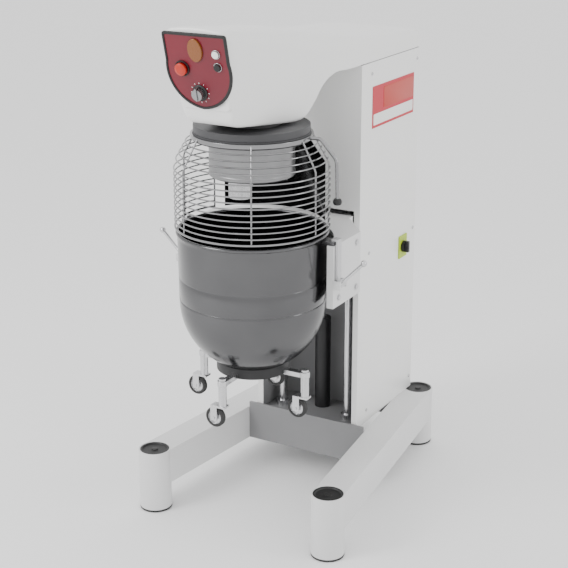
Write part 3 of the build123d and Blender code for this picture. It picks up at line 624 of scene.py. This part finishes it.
def estop():
    low = 5 + 6 + 0.3
    cap = rounded([(0, low), (19, low), (21, low + 3), (20.5, low + 9), (12, low + 12), (0, low + 12.2)],
                  2.5, closed=False)
    stem = [(0, low - 4), (12, low - 4), (12, low + 0.5), (0, low + 0.5)]
    fitting("estop_cap", "estop_button", ESTOP_AT, [("button_red", cap), ("button_red", stem)])
    collar("estop_collar", ESTOP_AT, 26, 22.4, 4.5)


def collar(name, at, outer, inner, height):
    bm = bmesh.new()
    section = rounded([(inner, 5), (outer, 5), (outer, 5 + height), (inner, 5 + height)], 1.0)
    turned(bm, section, on_panel(at), 64)
    return piece(name, bm, "root", "black_plastic" if outer > 20 else "bright_steel")


def push_button(name, node, at):
    low = 5 + 4 + 0.3
    cap = rounded([(0, low), (10.5, low), (12, low + 1.5), (11.5, low + 5), (0, low + 6)], 1.2, closed=False)
    stem = [(0, low - 3), (7, low - 3), (7, low + 0.5), (0, low + 0.5)]
    fitting(name, node, at, [(SLOT_OF[node], cap), (SLOT_OF[node], stem)])
    collar(name + "_ring", at, 14.5, 12.6, 3.6)


def timer_knob():
    """Skirted knob with a fluted grip and a pointer rib."""
    place = on_panel(KNOB_AT)
    bm = bmesh.new()
    skirt = rounded([(0, 5.3), (27, 5.3), (27, 8), (22, 10.5), (0, 10.5)], 1.2, closed=False)
    turned(bm, skirt, place, 72, closed=False)
    turned(bm, [(0, -10), (5, -10), (5, 6), (0, 6)], place, 32, closed=False)
    obj = piece("timer_skirt", bm, "timer", "black_plastic")
    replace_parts(obj, "timer_knob")
    bm = bmesh.new()
    outline = []
    for k in range(144):
        a = 2 * math.pi * k / 144
        r = 18.4 + 0.6 * math.cos(24 * a)
        outline.append((r * math.cos(a), r * math.sin(a)))
    plate(bm, outline, 10, 29, place, edge=1.0)
    piece("timer_grip", bm, "timer", "knob_grey")
    bm = bmesh.new()
    rib = rounded([(-3, -18), (3, -18), (3, 24), (-3, 24)], 1.5, steps=3)
    plate(bm, rib, 9, 33, place, edge=0.8)
    piece("timer_pointer", bm, "timer", "knob_grey")


# ------------------------------------------------------------------ posts, wheels, screws
def each_post():
    low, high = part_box("foot_posts")
    radius = 58 * MM
    front_x, front_y = high.x - radius, low.y + radius
    rear = [v.co for v in NODES["foot_posts"].data.vertices if v.co.y > high.y - 1e-4]
    rear_x = sum(abs(v.x) for v in rear) / len(rear)
    return [Vector((side * x, y, 0)) for x, y in ((front_x, front_y), (rear_x, high.y - radius)) for side in (1, -1)]


def posts():
    bm = bmesh.new()
    caps = bmesh.new()
    pads = bmesh.new()
    for at in each_post():
        place = Matrix.Translation(at)
        turned(bm, rounded([(53, 8), (58, 8), (58, 230), (53, 230)], 1.2, steps=3), place, 72)
        cap = rounded([(0, 209), (50, 209), (50, 226), (52.8, 226), (52.8, 229.4), (46, 229.4), (43, 224.5),
                       (12, 224.5), (11, 229), (0, 229)], 1.2, steps=3, closed=False)
        turned(caps, cap, place, 64, closed=False)
        pad = rounded([(0, 0), (56, 0), (58, 2), (58, 7.6), (52.8, 8.4), (52.8, 20), (0, 20)],
                      1, steps=3, closed=False)
        turned(pads, pad, place, 64, closed=False)
    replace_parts(piece("post_tubes", bm, "root", "frame_paint"), "foot_posts")
    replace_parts(piece("cap_mouldings", caps, "root", "black_plastic"), "post_caps")
    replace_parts(piece("foot_pads", pads, "root", "rubber"), "levelling_feet")


def wheel(i):
    """Caster wheel: rubber tyre with round shoulders on a turned hub."""
    node = f"caster_wheel_{i}"
    centre = middle(node)
    place = looking(centre, (0, 1, 0))
    bm = bmesh.new()
    tyre = rounded([(25, -10.8), (32, -10.8), (36, -6), (36, 6), (32, 10.8), (25, 10.8)], 3)
    turned(bm, tyre, place, 72)
    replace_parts(piece(f"tyre_{i}", bm, f"wheel_{i}", "rubber"), node)
    bm = bmesh.new()
    hub = rounded([(5.1, -11), (11, -11), (12, -5), (22, -4), (25.2, -9), (25.2, 9), (22, 4), (12, 5), (11, 11),
                   (5.1, 11)], 1)
    turned(bm, hub, place, 64)
    piece(f"hub_{i}", bm, f"wheel_{i}", "fork_steel")


def bolt(bm, at, direction, radius=9.0, height=5.0):
    """Hexagon head on a washer."""
    place = looking(at, direction)
    washer = rounded([(0, 0), (radius * 1.45, 0), (radius * 1.45, 1.4), (0, 1.4)], 0.4, closed=False)
    turned(bm, washer, place, 40, closed=False)
    outline = [(radius * math.cos(math.radians(60 * k)), radius * math.sin(math.radians(60 * k))) for k in range(6)]
    plate(bm, outline, 1.4, height, place, edge=0.7)


def carriage_bolts():
    """Fixings on the outer faces of the yoke's arms."""
    arm_x = 300
    bm = bmesh.new()
    for side in (1, -1):
        for z in (870, 1030):
            for back in (60, 190):
                bolt(bm, behind(back, z, side * arm_x), (side, 0, 0))
    return piece("carriage_bolts", bm, "lift", "bright_steel")


def cover_screws():
    bm = bmesh.new()
    side_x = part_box("side_panel_right")[1].x / MM
    for side in (1, -1):
        for back in (471, 856):
            for z in (280, 900, 1560):
                place = looking(behind(back, z, side * side_x), (side, 0, 0))
                head = rounded([(0, 0), (6.5, 0), (6, 2.4), (3, 3.2), (2.6, 1.6), (0, 1.6)], 0.5, closed=False)
                turned(bm, head, place, 40, closed=False)
    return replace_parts(piece("screw_heads", bm, "root", "bright_steel"), "cover_screws")


def rear_louvres():
    """Two columns of pressed louvres in the rear panel."""
    bm = bmesh.new()
    wall_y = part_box("rear_panel")[1].y
    for column_x in (-95, 95):
        for i in range(9):
            z = 1130 + 34 * i
            rings = []
            for k in range(13):
                t = k / 12
                x = column_x - 70 + 140 * t
                swell = min(1.0, math.sin(math.pi * t) * 2.4)
                ring = []
                for a in range(0, 181, 20):
                    dz = 11 * math.cos(math.radians(a)) - (4 if a > 90 else 0)
                    out = 7 * swell * math.sin(math.radians(a)) ** 0.8 if 0 < a < 180 else 0
                    ring.append(bm.verts.new((x * MM, wall_y + out * MM, (z + dz) * MM)))
                rings.append(ring)
            for low, high in zip(rings, rings[1:]):
                for n in range(len(low) - 1):
                    bm.faces.new([low[n], low[n + 1], high[n + 1], high[n]])
    return piece("rear_louvres", bm, "root", "body_paint")


def side_plate():
    """Generic coloured plate on the right side: a plain block and a pale band, with no lettering."""
    low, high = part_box("side_badge")
    place = Matrix.Translation(Vector((high.x, 0, 0))) @ Matrix.Rotation(math.radians(90), 4, "Z")
    place = place @ Matrix.Rotation(math.radians(90), 4, "X")
    y0, y1, z0, z1 = low.y / MM, high.y / MM, low.z / MM, high.z / MM
    for name, slot, box in (("badge_block", "button_red", (y0 + 90, y1 - 8, z0 + 62, z1 - 12)),
                            ("badge_band", "button_white", (y0 + 8, y1 - 8, z0 + 10, z0 + 50))):
        bm = bmesh.new()
        outline = rounded([(box[0], box[2]), (box[1], box[2]), (box[1], box[3]), (box[0], box[3])], 4)
        plate(bm, outline, 0, 0.6, place, edge=0.2)
        piece(name, bm, "root", slot)


def drum_skin():
    bm = bmesh.new()
    outline = rounded([(0, 1276), (142, 1276), (146, 1280), (146, 1290), (144.6, 1292), (144.6, 1406), (146, 1408),
                       (146, 1422), (144, 1424), (0, 1424)], 1.5, steps=3, closed=False)
    turned(bm, outline, looking(behind(0), (0, 0, 1)), 144, closed=False)
    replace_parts(piece("drum_can", bm, "planetary", "drum_metal"), "planet_drum")
    bm = bmesh.new()
    for k in range(6):
        at = around(130, 60 * k + 30, 1276)
        bolt(bm, at, (0, 0, -1), 5, 5)
    piece("drum_bolts", bm, "planetary", "bright_steel")


# ------------------------------------------------------------------ build
hood_skin()
bowl_skin()
base_skin()
guard()
bezel()
dial_marks()
estop()
push_button("start_cap", "start_button", START_AT)
push_button("stop_cap", "stop_button", STOP_AT)
timer_knob()
posts()
for i in range(1, 5):
    wheel(i)
    softened(f"caster_fork_{i}", 1.2)
carriage_bolts()
cover_screws()
rear_louvres()
side_plate()
drum_skin()
# Skins keep their node's slot, so the painted shade in plate_grey, shield_steel and dark_paint carries over to them.
for node, width in (("leg_left", 5), ("leg_right", 5), ("side_panel_left", 1.4), ("side_panel_right", 1.4),
                    ("front_cover", 0.9), ("rear_panel", 0.8), ("front_cross_plate", 1.5), ("rear_cross_plate", 1.5),
                    ("carriage", 3), ("clamp_left", 1.2), ("clamp_right", 1.2), ("bowl_lugs", 2),
                    ("isolator_plate", 1.5), ("isolator_knob", 1.5), ("column_liner", 0.8), ("rear_shield", 0.5),
                    ("neck_housing", 2), ("guard_track", 0.8), ("tool_shaft", 1)):
    softened(node, width)


# ------------------------------------------------------------------ floor, light, camera
def floor():
    bm = bmesh.new()
    bmesh.ops.create_grid(bm, x_segments=1, y_segments=1, size=30)
    mesh = bpy.data.meshes.new("floor")
    bm.to_mesh(mesh)
    bm.free()
    obj = bpy.data.objects.new("floor", mesh)
    bpy.context.scene.collection.objects.link(obj)
    mat = bpy.data.materials.new("floor_finish")
    mat.use_nodes = True
    shader = mat.node_tree.nodes["Principled BSDF"]
    shader.inputs["Base Color"].default_value = (.9, .9, .9, 1)
    shader.inputs["Roughness"].default_value = 0.9
    obj.data.materials.append(mat)
    obj.location.z = -0.0005


def area_light(name, at, target, size, power):
    light = bpy.data.lights.new(name, "AREA")
    light.shape = "RECTANGLE"
    light.size, light.size_y = size
    light.energy = power
    obj = bpy.data.objects.new(name, light)
    bpy.context.scene.collection.objects.link(obj)
    obj.location = at
    obj.rotation_euler = (Vector(target) - Vector(at)).to_track_quat("-Z", "Y").to_euler()


def studio():
    world = bpy.data.worlds.new("studio")
    world.use_nodes = True
    world.node_tree.nodes["Background"].inputs["Color"].default_value = (1, 1, 1, 1)
    world.node_tree.nodes["Background"].inputs["Strength"].default_value = 1.5
    bpy.context.scene.world = world
    area_light("key", (-2.2, -3.4, 3.4), (0, 0, 0.9), (1.6, 2.4), 110)
    area_light("side", (4.0, 0.5, 2.6), (0, 0, 0.9), (0.8, 3.0), 30)


def camera():
    azimuth, pitch = math.radians(29.48), math.radians(16.5)
    data = bpy.data.cameras.new("camera")
    data.sensor_width = 36
    data.lens = 85.94
    data.shift_y = -0.0954
    obj = bpy.data.objects.new("camera", data)
    bpy.context.scene.collection.objects.link(obj)
    obj.location = (2.264, -4.0807, 2.386)
    obj.rotation_euler = (math.radians(90) - pitch, 0, azimuth)
    bpy.context.scene.camera = obj


floor()
studio()
camera()
bpy.context.view_layer.update()
